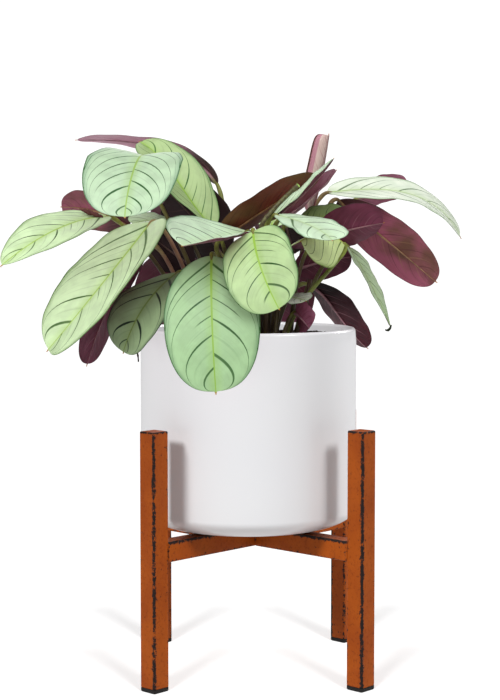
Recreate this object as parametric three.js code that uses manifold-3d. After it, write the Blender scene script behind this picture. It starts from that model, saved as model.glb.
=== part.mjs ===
// A ctenanthe 'Amagris' in a white cylinder pot, standing on a four-legged stand.
// Millimetres, +Z up. The origin is on the floor, below the pot's axis, and -Y is the front.

import * as THREE from 'three';
import { mergeVertices } from 'three/addons/utils/BufferGeometryUtils.js';
import Module from 'manifold-3d';

const wasm = await Module();
wasm.setup();

// Stand
const TUBE = 16;               // side of the square tube
const TUBE_WALL = 1.5;
const LEG_HEIGHT = 206.5;      // floor to the closed top of a leg
const LEG_REACH = 115;         // stand's middle to a leg's middle, along a cross bar
const STAND_SHIFT = 5;         // the pot stands a little to the left of the stand's middle
const BAR_TOP = 118.5;         // what the pot rests on
const CAP_FOOT = 3.5;          // the part of a leg's cap that shows below the tube
const CAP_PLUG = 14;           // the part that is pushed up inside it
const GAP = 0.3;               // clearance between pieces that are fitted or welded together

// Pot
const POT_RADIUS = 89;
const POT_RIM = 283;           // height of the lip above the floor
const POT_WALL = 5;
const POT_FLOOR = 7;
const LIP_ROUND = 2.5;
const FOOT_RUN = 40;           // the lower edge is rounded this far in
const FOOT_RISE = 16;          // and this far up

// Soil
const SOIL_TOP = 277;          // at the middle, where it is heaped a little
const SOIL_HEAP = 4;
const ROOT_DEPTH = 14;         // how far a stalk is sunk below the soil's edge level
const HOLE_CLEARANCE = 0.8;
const HOLE_SIDES = 6;

// Leaves
const BLADE_THICKNESS = 0.7;
const BLADE_ROWS = 9;          // steps along the blade
const STALK_ROWS = 5;          // steps along the stalk
const SECTION_SIDE = 5;        // points across one face of the blade
const BASE_ROUND = 1.8;        // superellipse powers of the blade's two ends
const TIP_ROUND = 2.5;
const BLADE_SHARE = 0.98;      // the blade's round end, before its small point
const POINT_SHARE = 0.05;
const POINT_WIDTH = 0.08;
const STALK_ROOT_RADIUS = 2.1;
const STALK_TOP_RADIUS = 1.5;
const RIB_RADIUS = 1.1;        // how far the rib stands out of the underside
const STALK_LEAN = 0.12;       // shares of the way to the blade by which a stalk first leans out
const STALK_RISE = 0.45;       // and rises, before it bends over
const ARCH = 16;               // how far back from the blade it bends into the blade's line
const ROOT_SHARE = 0.42;       // a stalk's root lies this far out towards its blade's base

// Each leaf: evenly spaced points of its rib, from the blade's base to its tip, the way its upper
// side faces halfway along, its width, the angle by which both halves fold up from the rib, and
// the further angle by which each curls up (or down, when negative) on its way to the edge.
// A twist turns the blade about its rib, from minus half at the base to plus half at the tip.
const LEAVES = [
  // Front
  { name: 'leaf_front_centre', rib: [[-31, -74, 343], [-31, -104, 296], [-28, -112, 238]],
    face: [0, -1, 0.25], width: 74, fold: 6, curl: -14, shows: 'green' },
  { name: 'leaf_front_right', rib: [[1, -94, 362], [6, -114, 335], [20, -124, 303]],
    face: [-0.5, -0.75, 0.4], width: 60, fold: 12, curl: -10,
    baseRound: 2.4, root: [2, -44], shows: 'green' },
  { name: 'leaf_centre_pale', rib: [[-2, -36, 362], [-23, -66, 357], [-40, -94, 354], [-54, -120, 351]],
    face: [0.19, -0.15, 0.97], width: 64, fold: 27, curl: -6,
    root: [-8, -22], baseRound: 1.3, shows: 'green' },
  { name: 'leaf_right_pale', rib: [[20, -64, 375], [47, -86, 366], [61, -108, 355]],
    face: [-0.05, -0.14, 0.99], width: 46, fold: 7, curl: -8, root: [13, -34], shows: 'green' },
  { name: 'leaf_small_yellow', rib: [[77, -27, 352], [58, -50, 361], [38, -76, 354]],
    face: [0.38, -0.18, 0.9], width: 58, fold: -45, curl: -10, root: [30, -28], shows: 'green' },
  { name: 'leaf_small_grey', rib: [[29, -20, 309], [36, -42, 309], [44, -60, 307]],
    face: [0.1, -0.8, 0.6], width: 24, fold: 6, curl: -6, root: [21, -28], shows: 'green' },

  // Left
  { name: 'leaf_left_low', rib: [[-79, -45, 369], [-118, -80, 319], [-159, -84, 269]],
    face: [-0.6, -0.55, 0.58], width: 80, fold: 12, curl: -4, root: [-38, -14], baseRound: 3.2,
    shows: 'green' },
  { name: 'leaf_far_left', rib: [[-113, -34, 374], [-150, -84, 364], [-189, -128, 336]],
    face: [-0.15, -0.62, 0.78], width: 50, fold: 8, curl: -4, tipRound: 1.6, baseRound: 1.6,
    shows: 'green' },
  { name: 'leaf_left_shaded', rib: [[-58, -40, 329], [-84, -75, 303], [-100, -80, 267]],
    face: [-0.45, -0.65, 0.5], width: 56, fold: 8, curl: -6, root: [-26, -28], shows: 'green' },
  { name: 'leaf_left_gap', rib: [[-60, 9, 368], [-78, -1, 371], [-94, -14, 368]],
    face: [-0.2, -0.5, 0.8], width: 34, fold: 4, curl: -6, shows: 'green' },
  { name: 'leaf_left_purple', rib: [[-98, 10, 366], [-126, 10, 379], [-155, 10, 382]],
    face: [-0.1, 0.6, 0.75], width: 48, fold: 4, curl: -10, root: [-40, 12], shows: 'purple' },
  { name: 'leaf_left_maroon', rib: [[-82, -4, 350], [-112, -34, 306], [-131, -40, 254]],
    face: [-0.7, 0.6, 0.4], width: 40, fold: 6, curl: -8, root: [-46, -2], shows: 'purple' },
  { name: 'leaf_centre_dark', rib: [[-46, 0, 333], [-63, 2, 345], [-77, 2, 356]],
    face: [-0.3, 0.85, 0.4], width: 36, fold: 6, curl: 0, shows: 'purple' },

  // Top
  { name: 'leaf_top_left', rib: [[-80, -20, 404], [-86, -62, 421], [-93, -104, 399], [-96, -128, 372]],
    face: [-0.05, -0.62, 0.78], width: 76, fold: 14, curl: -10, baseRound: 1.2, shows: 'green' },
  { name: 'leaf_top', rib: [[-29, -18, 365], [-48, -4, 388], [-68, 16, 417], [-91, 38, 437]],
    face: [0.42, -0.56, 0.7], width: 56, fold: 18, curl: -6, twist: 30,
    tipRound: 1.8, shows: 'green' },
  { name: 'leaf_back_top', rib: [[-25, 60, 402], [-55, 64, 428], [-101, 70, 439], [-147, 74, 440]],
    face: [0.05, 0.35, 0.93], width: 31, fold: 4, curl: -6, twist: 24, root: [-6, 18],
    shows: 'purple' },
  { name: 'leaf_top_shaded', rib: [[-19, 22, 340], [-42, 26, 370], [-66, 28, 394]],
    face: [0.1, 0.85, 0.5], width: 62, fold: 6, curl: -6, shows: 'purple' },
  { name: 'leaf_upright_brown', rib: [[-24, -29, 355], [12, -32, 380], [57, -34, 406]],
    face: [-0.62, 0.47, 0.62], width: 47, fold: 6, curl: 6, root: [4, -14], baseRound: 2.4,
    shows: 'purple' },
  { name: 'leaf_narrow_green', rib: [[15, -44, 371], [43, -56, 394], [66, -58, 420]],
    face: [-0.85, -0.06, 0.5], width: 28, fold: 12, curl: 0, root: [9, -24], shows: 'green' },
  { name: 'leaf_narrow_purple', rib: [[27, -2, 373], [51, 8, 390], [74, 14, 413]],
    face: [-0.75, 0.25, 0.6], width: 40, fold: 8, curl: 0, root: [12, 2], shows: 'purple' },
  { name: 'leaf_young_rolled', rib: [[53, 38, 376], [62, 37, 409], [69, 36, 444]],
    face: [-0.8, -0.35, 0.2], width: 38, fold: 4, curl: 160,
    tipRound: 6, section: 9, root: [18, 15], shows: 'young' },

  // Right
  { name: 'leaf_far_right', rib: [[70, 60, 395], [110, 70, 398], [154, 80, 390], [190, 92, 355]],
    face: [0.25, -0.4, 0.88], width: 48, fold: 8, curl: -6, root: [36, 17], shows: 'green' },
  { name: 'leaf_right_purple', rib: [[77, 34, 388], [120, 44, 354], [162, 40, 318]],
    face: [0.5, 0.75, 0.5], width: 52, fold: 6, curl: -10, root: [46, 9], shows: 'purple' },
  { name: 'leaf_right_folded', rib: [[57, -8, 356], [83, -14, 364], [111, -10, 369]],
    face: [0.1, 0.75, 0.65], width: 44, fold: 10, curl: 6, root: [34, -11], shows: 'purple' },
  { name: 'leaf_right_green', rib: [[42, 0, 366], [64, 6, 373], [84, 11, 377]],
    face: [0, -0.5, 0.85], width: 40, fold: 6, curl: -6, root: [16, 4], shows: 'green' },
  { name: 'leaf_right_hanging', rib: [[82, -4, 349], [98, -12, 322], [116, -20, 283]],
    face: [0.8, -0.28, 0.5], width: 41, fold: 10, curl: -8, root: [38, -18], baseRound: 3,
    tipRound: 1.3, shows: 'green' },
  { name: 'leaf_right_maroon', rib: [[38, 6, 330], [62, 9, 337], [87, 10, 341]],
    face: [0.1, 0.9, 0.3], width: 32, fold: 6, curl: -6, root: [20, -2], shows: 'purple' },
  { name: 'leaf_inner_maroon', rib: [[31, -16, 366], [34, -18, 355], [38, -20, 344]],
    face: [0.4, 0.8, 0.4], width: 30, fold: 6, curl: 0, root: [22, -11], shows: 'purple' },
  { name: 'leaf_low_purple', rib: [[37, -40, 297], [42, -48, 292], [47, -54, 285]],
    face: [0.3, 0.8, 0.5], width: 32, fold: 6, curl: -6, root: [27, -40], arch: 5, shows: 'purple' },
  { name: 'leaf_over_rim', rib: [[52, 42, 317], [69, 52, 304], [85, 60, 283], [106, 66, 260]],
    face: [0.6, 0.5, 0.6], width: 44, fold: 10, curl: 4, root: [24, 22], shows: 'purple' },
  { name: 'leaf_back_right_maroon', rib: [[98, 109, 390], [121, 113, 398], [146, 115, 403]],
    face: [-0.1, 0.75, 0.6], width: 32, fold: 6, curl: -6, root: [45, 63], shows: 'purple' },

  // Back, which the photograph does not show
  { name: 'leaf_back_centre', rib: [[-12, 84, 340], [-14, 112, 296], [-16, 118, 240]],
    face: [0, 1, 0.25], width: 66, fold: 6, curl: -12, shows: 'green' },
  { name: 'leaf_back_left', rib: [[-48, 62, 350], [-66, 98, 322], [-76, 118, 276]],
    face: [-0.4, 0.8, 0.5], width: 62, fold: 8, curl: -8, root: [-24, 24], shows: 'green' },
  { name: 'leaf_back_upper_left', rib: [[-34, 44, 380], [-54, 88, 385], [-62, 126, 352]],
    face: [-0.2, 0.4, 0.9], width: 54, fold: 8, curl: -8, root: [-18, 42], shows: 'green' },
  { name: 'leaf_back_upper_right', rib: [[20, 44, 365], [30, 86, 372], [36, 124, 345]],
    face: [0.1, 0.4, 0.9], width: 56, fold: 8, curl: -8, shows: 'green' },
  { name: 'leaf_back_low_left', rib: [[-30, 50, 318], [-38, 88, 300], [-44, 112, 262]],
    face: [-0.2, 0.8, 0.5], width: 50, fold: 6, curl: -8, root: [-10, 31], shows: 'green' },
  { name: 'leaf_back_low_right', rib: [[20, 50, 312], [27, 82, 297], [33, 102, 262]],
    face: [0.2, 0.8, 0.5], width: 42, fold: 6, curl: -8, root: [10, 28], shows: 'green' },
  { name: 'leaf_back_right', rib: [[36, 66, 336], [40, 98, 318], [44, 116, 276]],
    face: [0.3, 0.8, 0.5], width: 44, fold: 8, curl: -8, shows: 'green' },
];

// The straight upper part of the cut stalk.
const CUT_STALK = { rib: [[12, -64, 373], [25, -64, 387], [37, -69, 398]], root: [7, -33] };
const CUT_RADIUS = 1.8;
const CUT_HOLE_RADIUS = 1;
const CUT_DEPTH = 6;

// Vectors are arrays of three numbers.
const add = (a, b) => a.map((v, i) => v + b[i]);
const scale = (a, k) => a.map((v) => v * k);
const along = (a, b, k) => add(a, scale(b, k));
const dot = (a, b) => a.reduce((sum, v, i) => sum + v * b[i], 0);
const cross = (a, b) => [
  a[1] * b[2] - a[2] * b[1],
  a[2] * b[0] - a[0] * b[2],
  a[0] * b[1] - a[1] * b[0],
];
const unit = (a) => scale(a, 1 / Math.sqrt(dot(a, a)));
const away = (a, b) => along(a, b, -1);
const radians = (degrees) => (degrees * Math.PI) / 180;

// A closed mesh's geometry as a solid, and back.
function solid(geometry) {
  const bare = geometry.index ? geometry.toNonIndexed() : geometry.clone();
  bare.deleteAttribute('normal');
  bare.deleteAttribute('uv');
  const merged = mergeVertices(bare, 1e-3);
  const vertProperties = new Float32Array(merged.attributes.position.array);
  const triVerts = new Uint32Array(merged.index.array);
  return new wasm.Manifold(new wasm.Mesh({ numProp: 3, vertProperties, triVerts }));
}

function geometryOf(body) {
  const { vertProperties, triVerts } = body.getMesh();
  const geometry = new THREE.BufferGeometry();
  geometry.setAttribute('position', new THREE.BufferAttribute(vertProperties, 3));
  geometry.setIndex(new THREE.BufferAttribute(triVerts, 1));
  geometry.computeVertexNormals();
  return geometry;
}

function place(geometry, x, y, z, turn = 0) {
  return geometry.rotateZ(turn).translate(x, y, z);
}

const MATERIALS = {
  tube: new THREE.MeshStandardMaterial({ color: 0xa3551f, roughness: 0.55, metalness: 0.2 }),
  cap: new THREE.MeshStandardMaterial({ color: 0x151515, roughness: 0.6, metalness: 0 }),
  pot: new THREE.MeshStandardMaterial({ color: 0xeeeef0, roughness: 0.35, metalness: 0 }),
  soil: new THREE.MeshStandardMaterial({ color: 0x2b1f18, roughness: 0.95, metalness: 0 }),
  green: new THREE.MeshStandardMaterial({ color: 0xa9cc94, roughness: 0.45, metalness: 0 }),
  purple: new THREE.MeshStandardMaterial({ color: 0x55203a, roughness: 0.5, metalness: 0 }),
  young: new THREE.MeshStandardMaterial({ color: 0xd0a9a0, roughness: 0.45, metalness: 0 }),
  stalk: new THREE.MeshStandardMaterial({ color: 0x5c5a35, roughness: 0.5, metalness: 0 }),
};

const plant = new THREE.Group();

function addMesh(name, geometry, material) {
  const mesh = new THREE.Mesh(geometry, MATERIALS[material]);
  mesh.name = name;
  plant.add(mesh);
  return mesh;
}

// Stand
const INSIDE = TUBE - 2 * TUBE_WALL;
const BAR_LENGTH = 2 * (LEG_REACH - TUBE / 2 - GAP);
const HALF_BAR = (BAR_LENGTH - TUBE) / 2 - GAP;
const DIAGONAL = Math.PI / 4;

// A leg: square tube with a closed top, open below for its cap.
function legGeometry() {
  const length = LEG_HEIGHT - CAP_FOOT;
  const outside = new THREE.BoxGeometry(TUBE, TUBE, length).translate(0, 0, length / 2);
  const hollow = new THREE.BoxGeometry(INSIDE, INSIDE, length)
    .translate(0, 0, length / 2 - TUBE_WALL);
  return geometryOf(solid(outside).subtract(solid(hollow)));
}

// A cap: a plate under the tube, with a plug that goes up inside it.
function capGeometry() {
  const plate = new THREE.BoxGeometry(TUBE, TUBE, CAP_FOOT).translate(0, 0, CAP_FOOT / 2);
  const side = INSIDE - 2 * GAP;
  const height = CAP_FOOT + CAP_PLUG;
  const plug = new THREE.BoxGeometry(side, side, height).translate(0, 0, height / 2);
  return geometryOf(solid(plate).add(solid(plug)));
}

// A bar: square tube that lies along X.
function barGeometry(length) {
  const outside = new THREE.BoxGeometry(length, TUBE, TUBE);
  const hollow = new THREE.BoxGeometry(length + TUBE, INSIDE, INSIDE);
  return geometryOf(solid(outside).subtract(solid(hollow)));
}

function buildStand() {
  const corners = { front_right: -1, back_right: 1, back_left: 3, front_left: 5 };
  for (const [corner, eighths] of Object.entries(corners)) {
    const angle = eighths * DIAGONAL;
    const x = STAND_SHIFT + LEG_REACH * Math.cos(angle);
    const y = LEG_REACH * Math.sin(angle);
    addMesh('leg_' + corner, place(legGeometry(), x, y, CAP_FOOT, angle), 'tube');
    addMesh('cap_' + corner, place(capGeometry(), x, y, 0, angle), 'cap');
  }
  const height = BAR_TOP - TUBE / 2;
  addMesh('bar_long', place(barGeometry(BAR_LENGTH), STAND_SHIFT, 0, height, DIAGONAL), 'tube');
  for (const [name, angle] of [['front', -DIAGONAL], ['back', 3 * DIAGONAL]]) {
    const reach = TUBE / 2 + GAP + HALF_BAR / 2;
    const x = STAND_SHIFT + reach * Math.cos(angle);
    const y = reach * Math.sin(angle);
    addMesh('bar_half_' + name, place(barGeometry(HALF_BAR), x, y, height, angle), 'tube');
  }
}

// Pot: half its section, from the axis under the base, up the outside and down the inside.
const POT_SIDES = 40;

function arc(centreX, centreZ, radiusX, radiusZ, from, to, steps) {
  const points = [];
  for (let i = 0; i <= steps; i++) {
    const angle = radians(from + ((to - from) * i) / steps);
    const x = centreX + radiusX * Math.cos(angle);
    const z = centreZ + radiusZ * Math.sin(angle);
    points.push(new THREE.Vector2(x, z));
  }
  return points;
}

// The pot's inside below the lip, as points from the axis outwards, drawn in by a clearance.
function insideProfile(clearance) {
  const radius = POT_RADIUS - POT_WALL - clearance;
  const floor = BAR_TOP + POT_FLOOR + clearance;
  const rise = FOOT_RISE - POT_FLOOR / 2;
  return [
    new THREE.Vector2(0, floor),
    ...arc(radius - FOOT_RUN, floor + rise, FOOT_RUN, rise, -90, 0, 4),
  ];
}

function lathe(profile, sides) {
  // A lathe turns its profile about Y, so it is stood up afterwards.
  return new THREE.LatheGeometry(profile, sides).rotateX(Math.PI / 2);
}

function buildPot() {
  const outer = arc(POT_RADIUS - FOOT_RUN, BAR_TOP + FOOT_RISE, FOOT_RUN, FOOT_RISE, -90, 0, 7);
  const lipX = POT_RADIUS - LIP_ROUND;
  const lip = arc(lipX, POT_RIM - LIP_ROUND, LIP_ROUND, LIP_ROUND, 0, 180, 4);
  const profile = [
    new THREE.Vector2(0, BAR_TOP),
    ...outer,
    ...lip,
    ...insideProfile(0).reverse(),
  ];
  addMesh('pot', lathe(profile, POT_SIDES), 'pot');
}

// Leaves

// How wide the blade is at t, from 0 at its base to 1 at its tip, as a share of its full width.
function profileAt(leaf, t) {
  const u = 2 * Math.min(t / BLADE_SHARE, 1) - 1;
  const power = u < 0 ? (leaf.baseRound ?? BASE_ROUND) : (leaf.tipRound ?? TIP_ROUND);
  const body = (1 - Math.abs(u) ** power) ** (1 / power);
  const point = t > 1 - POINT_SHARE ? (POINT_WIDTH * (1 - t)) / POINT_SHARE : 0;
  return Math.max(body, point);
}

// The smooth curve through the leaf's rib points, which lie at even steps of t.
function ribPoint(leaf, t) {
  const last = leaf.rib.length - 1;
  let point = [0, 0, 0];
  leaf.rib.forEach((knot, i) => {
    let weight = 1;
    for (let j = 0; j <= last; j++) {
      if (j !== i) weight *= (t * last - j) / (i - j);
    }
    point = along(point, knot, weight);
  });
  return point;
}

function ribDirection(leaf, t) {
  const step = 0.001;
  return unit(away(ribPoint(leaf, t + step), ribPoint(leaf, t - step)));
}

// One half of the blade's section, as an arc that starts at the rib at the fold angle and
// turns by the curl angle: how far across and how far up it is at a share s of its width.
function acrossAt(width, fold, curl, s) {
  if (Math.abs(curl) < 0.01) {
    return [width * s * Math.cos(fold), width * s * Math.sin(fold)];
  }
  const end = fold + curl * s;
  return [
    (width / curl) * (Math.sin(end) - Math.sin(fold)),
    (width / curl) * (Math.cos(fold) - Math.cos(end)),
  ];
}

// The closed ring of points round the blade at t: its upper face from the left edge to the
// right one, then its underside back again, with the rib standing out below.
function bladeRing(leaf, t) {
  const centre = ribPoint(leaf, t);
  const forward = ribDirection(leaf, t);
  const twist = radians((leaf.twist ?? 0) * (t - 0.5));
  const level = unit(cross(forward, leaf.face));
  const up = cross(level, forward);
  const side = add(scale(level, Math.cos(twist)), scale(up, Math.sin(twist)));
  const normal = cross(side, forward);
  const width = Math.max((leaf.width / 2) * profileAt(leaf, t), BLADE_THICKNESS);
  const fold = radians(leaf.fold);
  const curl = radians(leaf.curl);
  const upper = [];
  const lower = [];
  const count = leaf.section ?? SECTION_SIDE;
  for (let j = 0; j < count; j++) {
    const s = (2 * j) / (count - 1) - 1;
    const [out, rise] = acrossAt(width, fold, curl, Math.abs(s));
    const sign = Math.sign(s);
    const tilt = sign === 0 ? 0 : fold + curl * Math.abs(s);
    const point = along(along(centre, side, sign * out), normal, rise);
    const facing = along(scale(normal, Math.cos(tilt)), side, -sign * Math.sin(tilt));
    const rib = sign === 0 ? RIB_RADIUS * (1 - t) : 0;
    upper.push(along(point, facing, BLADE_THICKNESS / 2));
    lower.unshift(along(point, facing, -BLADE_THICKNESS / 2 - rib));
  }
  return { points: [...upper, ...lower], side, normal, centre };
}

function stalkRing(leaf, centre, side, normal, radius) {
  const points = [];
  const count = leaf.section ?? SECTION_SIDE;
  for (let j = 0; j < 2 * count; j++) {
    const angle = Math.PI * (1 - (j + 0.5) / count);
    const across = along(centre, side, radius * Math.cos(angle));
    points.push(along(across, normal, radius * Math.sin(angle)));
  }
  return points;
}

function bezier(a, b, c, d, u) {
  const v = 1 - u;
  const first = add(scale(a, v * v * v), scale(b, 3 * v * v * u));
  return add(first, add(scale(c, 3 * v * u * u), scale(d, u * u * u)));
}

function rootOf(leaf) {
  const [x, y] = leaf.root ?? [leaf.rib[0][0] * ROOT_SHARE, leaf.rib[0][1] * ROOT_SHARE];
  return [x, y, SOIL_TOP - SOIL_HEAP - ROOT_DEPTH];
}

// The stalk's line above the soil, upright at first and then bending over to the blade's base.
function stalkPoint(leaf, u) {
  const [x, y] = rootOf(leaf);
  const base = leaf.rib[0];
  const start = [x, y, SOIL_TOP];
  const way = away(base, start);
  const rise = add(start, [way[0] * STALK_LEAN, way[1] * STALK_LEAN, way[2] * STALK_RISE]);
  const arrival = along(base, ribDirection(leaf, 0), -(leaf.arch ?? ARCH));
  return bezier(start, rise, arrival, base, u);
}

// A body through a row of rings, closed at both ends by strips across the rings.
function loft(rings) {
  const count = rings[0].length;
  const faces = [];
  for (let i = 0; i + 1 < rings.length; i++) {
    for (let j = 0; j < count; j++) {
      const a = i * count + j;
      const b = i * count + ((j + 1) % count);
      faces.push(a, b, a + count, b, b + count, a + count);
    }
  }
  const last = (rings.length - 1) * count;
  for (let j = 0; j + 1 < count / 2; j++) {
    const k = count - 1 - j;
    faces.push(j, k, j + 1, j + 1, k, k - 1);
    faces.push(last + j, last + j + 1, last + k, last + j + 1, last + k - 1, last + k);
  }
  const geometry = new THREE.BufferGeometry();
  geometry.setAttribute('position', new THREE.Float32BufferAttribute(rings.flat(2), 3));
  geometry.setIndex(faces);
  geometry.computeVertexNormals();
  return geometry;
}

// The stalk's rings from the root up to just below the blade's base, whose normal is given.
function stalkRings(leaf, baseNormal) {
  const rings = [];
  let normal = baseNormal;
  for (let i = STALK_ROWS - 1; i >= 0; i--) {
    const u = i / STALK_ROWS;
    const step = 0.01;
    const before = stalkPoint(leaf, Math.max(u - step, 0));
    const forward = i === 0 ? [0, 0, 1] : unit(away(stalkPoint(leaf, u + step), before));
    normal = unit(along(normal, forward, -dot(normal, forward)));
    const radius = STALK_ROOT_RADIUS + (STALK_TOP_RADIUS - STALK_ROOT_RADIUS) * u;
    rings.unshift(stalkRing(leaf, stalkPoint(leaf, u), cross(forward, normal), normal, radius));
  }
  const side = cross([0, 0, 1], normal);
  rings.unshift(stalkRing(leaf, rootOf(leaf), side, normal, STALK_ROOT_RADIUS));
  return rings;
}

function leafGeometry(leaf) {
  const { side, normal, centre } = bladeRing(leaf, 0);
  const rings = stalkRings(leaf, normal);
  rings.push(stalkRing(leaf, centre, side, normal, STALK_TOP_RADIUS));
  for (let i = 1; i <= BLADE_ROWS; i++) {
    const t = (BLADE_SHARE * (1 - Math.cos((Math.PI * i) / BLADE_ROWS))) / 2;
    rings.push(bladeRing(leaf, t).points);
  }
  rings.push(bladeRing(leaf, 1).points);
  return loft(rings);
}

// The stalk of a leaf that was cut off, with a small blind hole in its end.
function cutStalkGeometry() {
  const forward = ribDirection(CUT_STALK, 1);
  const side = unit(cross(forward, [0, 0, 1]));
  const normal = cross(side, forward);
  const rings = stalkRings(CUT_STALK, normal);
  for (const t of [0, 0.5, 1]) {
    rings.push(stalkRing(CUT_STALK, ribPoint(CUT_STALK, t), side, normal, CUT_RADIUS));
  }
  const hole = new THREE.CylinderGeometry(CUT_HOLE_RADIUS, CUT_HOLE_RADIUS, 2 * CUT_DEPTH, 8);
  const turn = new THREE.Quaternion()
    .setFromUnitVectors(new THREE.Vector3(0, 1, 0), new THREE.Vector3(...forward));
  hole.applyQuaternion(turn).translate(...ribPoint(CUT_STALK, 1));
  return geometryOf(solid(loft(rings)).subtract(solid(hole)));
}

function buildLeaves() {
  for (const leaf of LEAVES) {
    addMesh(leaf.name, leafGeometry(leaf), leaf.shows);
  }
  addMesh('stalk_cut', cutStalkGeometry(), 'stalk');
}

// Soil: fills the pot below its heaped top, with a plain hole round each root.
function buildSoil() {
  const edge = SOIL_TOP - SOIL_HEAP;
  const heap = arc(0, edge, POT_RADIUS - POT_WALL - GAP, SOIL_HEAP, 0, 90, 4);
  const profile = [...insideProfile(GAP), ...heap];
  let soil = solid(lathe(profile, POT_SIDES));
  for (const stalk of [...LEAVES, CUT_STALK]) {
    const [x, y, z] = rootOf(stalk);
    const radius = STALK_ROOT_RADIUS + HOLE_CLEARANCE;
    const height = 2 * ROOT_DEPTH;
    const hole = new THREE.CylinderGeometry(radius, radius, height, HOLE_SIDES);
    hole.rotateX(Math.PI / 2).translate(x, y, z - GAP + height / 2);
    soil = soil.subtract(solid(hole));
  }
  addMesh('soil', geometryOf(soil), 'soil');
}

buildStand();
buildPot();
buildLeaves();
buildSoil();

export default plant;
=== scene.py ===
import functools
import random
from math import atanh, copysign, cos, exp, pi, radians, sin, sqrt

import bmesh
import bpy
import numpy as np
from mathutils import Matrix, Vector


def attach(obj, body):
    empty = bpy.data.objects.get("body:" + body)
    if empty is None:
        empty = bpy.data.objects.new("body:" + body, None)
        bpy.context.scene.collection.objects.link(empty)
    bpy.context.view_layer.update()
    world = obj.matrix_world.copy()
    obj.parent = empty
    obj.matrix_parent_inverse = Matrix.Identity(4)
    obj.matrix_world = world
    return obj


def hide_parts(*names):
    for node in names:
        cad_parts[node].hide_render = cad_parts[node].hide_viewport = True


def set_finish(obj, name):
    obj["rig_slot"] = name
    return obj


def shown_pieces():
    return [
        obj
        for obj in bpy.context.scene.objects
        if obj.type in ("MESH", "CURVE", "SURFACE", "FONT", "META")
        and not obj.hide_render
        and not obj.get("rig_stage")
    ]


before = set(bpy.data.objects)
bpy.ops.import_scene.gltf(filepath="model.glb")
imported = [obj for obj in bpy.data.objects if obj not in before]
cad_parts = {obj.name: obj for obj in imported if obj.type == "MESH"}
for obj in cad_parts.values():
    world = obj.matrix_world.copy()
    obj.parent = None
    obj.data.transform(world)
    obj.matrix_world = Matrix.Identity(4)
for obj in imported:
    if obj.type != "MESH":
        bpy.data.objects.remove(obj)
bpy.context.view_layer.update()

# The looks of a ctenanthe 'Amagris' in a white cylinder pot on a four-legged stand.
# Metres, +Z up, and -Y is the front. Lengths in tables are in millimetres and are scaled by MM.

MM = 0.001
WHITE = (1, 1, 1, 1)

# Sizes that the solids have too
TUBE = 16 * MM
LEG_HEIGHT = 206.5 * MM
LEG_REACH = 115 * MM
STAND_SHIFT = 5 * MM
BAR_TOP = 118.5 * MM
CAP_FOOT = 3.5 * MM
GAP = 0.3 * MM
POT_RADIUS = 89 * MM
POT_RIM = 283 * MM
POT_WALL = 5 * MM
POT_FLOOR = 7 * MM
LIP_ROUND = 2.5 * MM
FOOT_RUN = 40 * MM
FOOT_RISE = 16 * MM
SOIL_TOP = 277 * MM
SOIL_HEAP = 4 * MM
ROOT_DEPTH = 14 * MM
BASE_ROUND = 1.8
TIP_ROUND = 2.5
BLADE_SHARE = 0.98
POINT_SHARE = 0.05
POINT_WIDTH = 0.08
STALK_ROOT_RADIUS = 2.1 * MM
STALK_TOP_RADIUS = 1.5 * MM
STALK_LEAN = 0.12
STALK_RISE = 0.45
ARCH = 16 * MM
ROOT_SHARE = 0.42

# Finer than the solids
BLADE_THICKNESS = 0.55 * MM
EDGE_THINNING = 0.75  # the share of the thickness that is gone at the edge
LEAST_HALF_WIDTH = 0.35 * MM
BLADE_ROWS = 44
TIP_ROWS = [0.986, 0.993, 1.0]
HALF_COLUMNS = 13
STALK_STEPS = 26
STALK_SIDES = 12
POT_SIDES = 160
LIP_TAPER = 0.7 * MM  # how far the band below the lip leans in
JOINT_LENGTH = 13 * MM  # the swollen joint where the stalk meets the blade
JOINT_SWELL = 0.45 * MM
GROOVE_DEPTH = 0.35 * MM  # the rib lies in a shallow groove on the upper side
GROOVE_WIDTH = 1.3 * MM
QUILT = 0.2 * MM  # how far the blade bulges between its side veins
QUILT_COUNT = 6.5
WAVES = 2.2  # how many waves the blade's edge has
RIPPLES = 5.3  # and how many finer ones
RIPPLE_SHARE = 0.4  # the height of a finer one as a share of a wave's
RIB_RINGS = 18
RIB_SHARE = 0.97  # how far along the blade its rib runs
RIB_END_RADIUS = 0.12 * MM
RIB_SINK = 0.25 * MM  # how far under the blade's middle the rib's top lies
VEIN_REACH = 0.19  # how far a side vein runs forward, as shares of the blade
VEIN_SWEEP = 0.07
WALL_STEP = 20 * MM  # between the rings of the pot's wall
SOIL_DEPTH = 20 * MM
SOIL_RINGS = 34
SOIL_SIDES = 110
SOIL_SEED = 5
CRUMBS = 520
CRUMB_REACH = 0.97  # how far out crumbs lie, as a share of the soil's radius
CUT_STEPS = 12
DRIED_STEPS = 14
EDGE_ROUND = 1.1 * MM  # of the tubes' long edges
CORNER_POINTS = 4
PLUG_INSET = 2 * MM
PLUG_HEIGHT = 12 * MM
BEAM_STEP = 9 * MM
WELD_STEP = 0.5 * MM
WELD_WEAR = 0.55
BAR_WEAR = (1.0, 1.0, 0.6, 0.6), 0.7, 0.7  # of its long edges and its two ends

# Across a tube's face: the share of the way from one edge to the next, and how worn it is there.
FACE_WEAR = ((0.1, 0.45), (0.25, 0.12), (0.5, 0.0), (0.75, 0.12), (0.9, 0.45))
# Rings at a tube's end: the distance from it, the ring's size as a share, and how worn it is.
BEAM_END = [(0.0, 0.93, 1.0), (0.35 * MM, 0.985, 1.0), (1.0 * MM, 1.0, 0.9), (2.2 * MM, 1.0, 0.4)]
# Rings on a tube's flat end: the size of each as a share, and how worn it is.
END_RINGS = ((0.86, 0.5), (0.7, 0.1))
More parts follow.
